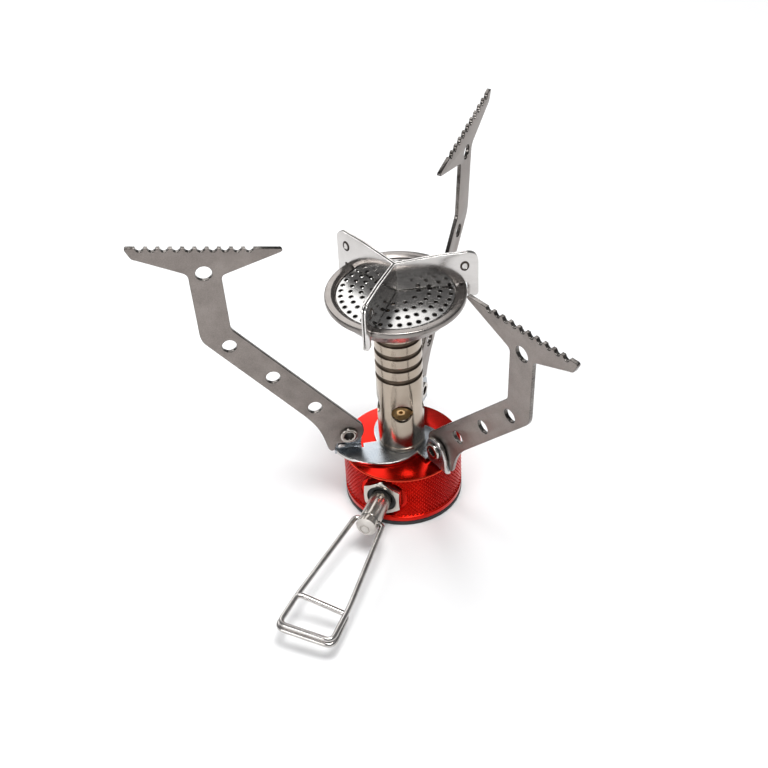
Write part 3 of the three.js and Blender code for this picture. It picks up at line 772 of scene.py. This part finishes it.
def ear():
    """An ear with its bend and its stop tab, in the frame of the rivet."""
    x, z = PIVOT
    edge_round, bend_middle, bend_length = 0.28, 15.8, 7.8
    bend_z = BRACKET_BOTTOM + BEND_OUT
    corners = [(11.9, bend_z - 0.1, 0), (19.7, bend_z - 0.1, 0), (20.0, 23.0, 2.5), (18.6, 28.4, 3.5),
               (13.4, 28.7, 3.6), (11.4, 23.8, 3)]
    outline = rounded([(u - x, w - z, radius) for u, w, radius in corners], 8)
    flat = plate(outline, [circle(0, 0, 2.2)], SHEET, edge_round, steps=3)
    section = Outline(-BEND_OUT, 0).arc(0, 0, BEND_OUT, math.pi, 1.5 * math.pi, 12)
    section.arc(0, 0, BEND_OUT - SHEET, 1.5 * math.pi, math.pi, 12)
    bend = plate(section.points[1:], [], bend_length, 0.1)
    # The bend's broad face is the plate's edge here, so its two materials change places.
    for face in bend.polygons:
        face.material_index = 1 - face.material_index
    along = Matrix(((0, 0, 1, bend_middle - x), (1, 0, 0, EAR_SIDE + BEND_OUT), (0, 1, 0, bend_z - z),
                    (0, 0, 0, 1)))
    tab_width, tab_length = 2.3, ARM_OFFSET + SHEET / 2 - EAR_SIDE - SHEET + 0.3
    tab_outline = rounded([(0, 0), (tab_width, 0), (tab_width, tab_length, 0.5), (0, tab_length, 0.5)])
    tab = plate(tab_outline, [], 1, 0.12)
    tab_place = Matrix.Translation((16.45 - x, EAR_SIDE + SHEET - 0.2, 20.6 - z))
    return joined(moved(flat, upright(EAR_SIDE + SHEET / 2)), moved(bend, along), moved(tab, tab_place))


def make_bracket():
    pieces = [moved(pinwheel(), Matrix.Translation((0, 0, BRACKET_MIDDLE)))]
    for turn, lean, _ in STATIONS.values():
        pieces.append(moved(ear(), at_pivot(turn, lean)))
    # The bracket's edges take the lighter steel, a painted highlight.
    placed("bracket_pinwheel", joined(*pieces), "arm_bracket", "root", [ZINC, EDGE_GLINT])


# ---------------------------------------------------------------- pan arms and their rivets

def arm_outline():
    """The arm about its rivet: X outward, Y up."""
    heel_r, heel_centre = 4.6, (0.3, BAR_RISE)
    shape = Outline(3.3, -3.0).line(-2.2, -3.0)
    shape.arc(*heel_centre, heel_r, math.radians(230), BAR_ANGLE + math.pi / 2 + 0.1, 24)
    # Up the inner side of the bar and the neck to the head's inner tip.
    shape.line(30.2, 40.3).curve((31, 41.2), (31.0, 42.4)).line(32.2, 57.2).curve((32.3, 58.5), (31, 58.9))
    shape.line(17.0, 64.1).curve((15.9, 64.7), (16.9, 65.3)).line(22.6, 65.88)
    # Outward along the toothed top.
    slope, pitch, depth, count = math.radians(5.8), 3.056, 1.5, 10
    inward = Vector((-math.cos(slope), -math.sin(slope)))
    down = Vector((math.sin(slope), -math.cos(slope)))
    outermost = Vector((53.6, 69.03))
    for tooth in reversed(range(count)):
        peak = outermost + inward * (tooth + 0.85) * pitch
        shape.line(*peak)
        shape.curve(peak - inward * 0.08 * pitch + down * depth, peak - inward * 0.62 * pitch + down * depth,
                    peak - inward * 0.7 * pitch, steps=10)
    # Round the outer tip and back down the outer side to the toe.
    shape.line(55.0, 69.2).curve((56, 69.3), (55.8, 68.4)).line(54.8, 66.4).curve((54.4, 65.5), (53.2, 65.2))
    shape.line(42.2, 60.2).curve((40.8, 59.6), (40.7, 58.2))
    shape.line(39.2, 40.2).curve((39.0, 38.0), (37.6, 36.4))
    shape.line(13.0, 9.2).curve((8.9, 4.6), (7.6, 1.8), (6.2, -3.6), steps=14)
    shape.curve((5.6, -5.8), (4.6, -5.5)).curve((3.9, -5.2), (3.9, -4.2))
    return shape.points


def arm_holes():
    """The rivet's hole, the head's hole and three holes along the bar."""
    holes = [circle(0, 0, 2.2, 48), circle(36.7, 59.6, 2.15, 48)]
    for along in (13.9, 30.4, 46.8):
        holes.append(circle(along * math.cos(BAR_ANGLE), BAR_RISE + along * math.sin(BAR_ANGLE), 1.95, 48))
    return holes


def hollow_rivet():
    """A tube with both ends rolled over; its bore takes the second material, a painted shade."""
    near, far = EAR_SIDE - 0.25, ARM_OFFSET + SHEET / 2 + 0.25
    bore_r, shank_r, head_r, head = 1.4, 1.9, 2.6, 0.6
    rivet = turned(profile([
        (bore_r, near - head, 0.1), (2.4, near - head, 0.3), (head_r, near, 0.1), (shank_r, near),
        (shank_r, far), (head_r, far, 0.1), (2.4, far + head, 0.3), (bore_r, far + head, 0.3)]), 64)
    for face in rivet.polygons:
        widest = max(rivet.vertices[i].co.xy.length for i in face.vertices)
        face.material_index = 1 if widest < bore_r + 0.05 else 0
    return rivet


def make_arms():
    for side, (turn, lean, slack) in STATIONS.items():
        pivot = at_pivot(turn, lean)
        arm = plate(arm_outline(), arm_holes(), SHEET, 0.16, steps=3)
        # The arm's edges take the darker steel, painted shade.
        placed("arm_stamped_" + side, arm, "arm_" + side, "arm_" + side,
               [ARM_STEEL, ARM_EDGE_SHADE], pivot @ Matrix.Rotation(-slack, 4, "Y") @ upright(ARM_OFFSET))
        # The rivet's bore takes the near-black, painted shade.
        placed("rivet_rolled_" + side, hollow_rivet(), "arm_rivet_" + side, "root", [NICKEL, PAINTED_SHADE],
               pivot @ Matrix.Rotation(-math.pi / 2, 4, "X"))


# ---------------------------------------------------------------- gland nut, spindle and wire handle

def gland_nut():
    """A hexagon with turned chamfers, and its shank."""
    front, back, corner = 17.4, 15.3, 6.1
    bore_r, mouth_r, mouth_depth, shank_r, seal_floor, shank_end, past = 3.5, 4.2, 2.2, 4.5, 12, 11, 0.01
    hexagon = turned([(0, back), (corner, back), (corner, front), (0, front)], 6)
    chamfer = turned([(0, back - past), (corner - 0.15, back - past), (corner + 0.2, back + 0.35),
                      (corner + 0.2, front - 0.55), (corner - 0.85, front + past), (0, front + past)], 96)
    hexagon = cut(moved(hexagon, Matrix.Rotation(math.pi / 2, 4, "Z")), chamfer, "INTERSECT")
    bore = turned([(0, seal_floor), (bore_r, seal_floor), (bore_r, front - mouth_depth),
                   (mouth_r, front - mouth_depth), (mouth_r, front - 0.25), (mouth_r + 0.3, front + 0.2),
                   (0, front + 0.2)], 64)
    hexagon = bevelled(cut(hexagon, bore), 0.08)
    shank = turned(profile([(3.3, shank_end), (shank_r, shank_end, 0.2), (shank_r, back + 0.1),
                            (bore_r, back - 0.1), (bore_r, seal_floor), (3.3, seal_floor)]), 64)
    return joined(hexagon, shank)


def wiper():
    """The rubber washer in the mouth of the nut."""
    inner_r, outer_r, bottom, top = 3.1, 4.15, 15.35, 17.0
    return turned(profile([(inner_r, bottom, 0.1), (outer_r, bottom, 0.1), (outer_r, top, 0.2),
                           (inner_r, top, 0.3)]), 64)


def spindle():
    """The spindle with its domed end, which takes the second material."""
    radius, dome_start, tip, steps = 3.0, SPINDLE_END - 1.6, 4.4, 12
    needle_r, thread_r = 0.85, 1.9
    corners = [(0, tip), (0.25, tip), (needle_r, 6, 0.2), (needle_r, 9.5), (thread_r, 9.5, 0.1),
               (thread_r, 10.9), (radius, 11.3, 0.1), (radius, dome_start, 0.25)]
    angles = [math.pi / 2 * k / steps for k in range(1, steps)]
    crown = [(radius * math.cos(t), dome_start + 0.1 + 1.5 * math.sin(t)) for t in angles]
    groove_z = crown[-5][1] - 0.25
    groove = [(1.45, groove_z), (1.2, groove_z)]
    rim, middle = [point for point in crown if point[0] > 1.5], [point for point in crown if point[0] < 1.15]
    body = turned(profile(corners) + rim + groove + middle + [(0, SPINDLE_END)], 96)
    across = Matrix.Translation((0, 0, HANDLE_PIVOT)) @ Matrix.Rotation(math.pi / 2, 4, "Y")
    body = bevelled(cut(body, moved(rod(1.0, -4, 4), across)), 0.08, angle=50)
    for face in body.polygons:
        face.material_index = 1 if face.center.z > dome_start + 0.05 else 0
    return body


def handle_wire():
    """One wire round the end loop one and a half times, its ends in the spindle's cross hole."""
    inner, outer, end, crossbar, reach, rise, inset, lean = 4.1, 7.5, 8, 31, 42, 1.5, 0.5, 0.035
    wire_r, root, longest, steps = 0.76, 1.6, 0.45, 12
    points = [(-root, 0, 0), (-inner, 0, 0), (-outer, crossbar, 0), (-end, reach, 0), (end, reach, 0),
              (outer, crossbar + 0.4, 0), (inset - outer, crossbar, rise), (inset - end, reach - inset, rise),
              (end - inset, reach - inset, rise), (outer - 0.2, crossbar - 1.4, rise), (inner, 0, 0),
              (root, 0, 0)]
    bends = [0, 1.3, 3, 2.4, 2.4, 1.8, 1.8, 2.2, 2.2, 3, 1.3, 0]
    corners = [Vector((x - lean * y, -y, z)) for x, y, z in points]
    path = [corners[0]]
    for i in range(1, len(corners) - 1):
        here = corners[i]
        back, ahead = corners[i - 1] - here, corners[i + 1] - here
        before = here + back * min(longest, bends[i] / back.length)
        after = here + ahead * min(longest, bends[i] / ahead.length)
        for step in range(steps + 1):
            t = step / steps
            path.append(before.lerp(here, t).lerp(here.lerp(after, t), t))
    path.append(corners[-1])
    curve = bpy.data.curves.new("wire", "CURVE")
    curve.dimensions = "3D"
    curve.bevel_depth = wire_r
    curve.bevel_resolution = 5
    curve.use_fill_caps = True
    spline = curve.splines.new("POLY")
    spline.points.add(len(path) - 1)
    for point, place in zip(spline.points, path):
        point.co = (*place, 1)
    mesh = evaluated(linked("wire", curve))
    bpy.data.curves.remove(curve)
    return mesh


def make_valve():
    placed("nut_hexagon", gland_nut(), "gland_nut", "root", [NICKEL], TO_SPINDLE)
    placed("spindle_washer", wiper(), "spindle_wiper", "root", [RUBBER], TO_SPINDLE)
    turn = Matrix.Rotation(SPINDLE_TURN, 4, "Z")
    placed("spindle_turned", spindle(), "valve_spindle", "spindle", [SPINDLE_STEEL, CAP_STEEL],
           TO_SPINDLE @ turn)
    hinge = (Matrix.Translation((0, -HANDLE_PIVOT, SPINDLE_Z)) @ Matrix.Rotation(-SPINDLE_TURN, 4, "Y")
             @ Matrix.Rotation(HANDLE_DROOP, 4, "X"))
    placed("handle_bent_wire", handle_wire(), "wire_handle", "handle", [WIRE], hinge, sharp=50)


make_camera()
make_studio()
make_base()
make_jet()
make_burner()
make_vanes()
make_bracket()
make_arms()
make_valve()
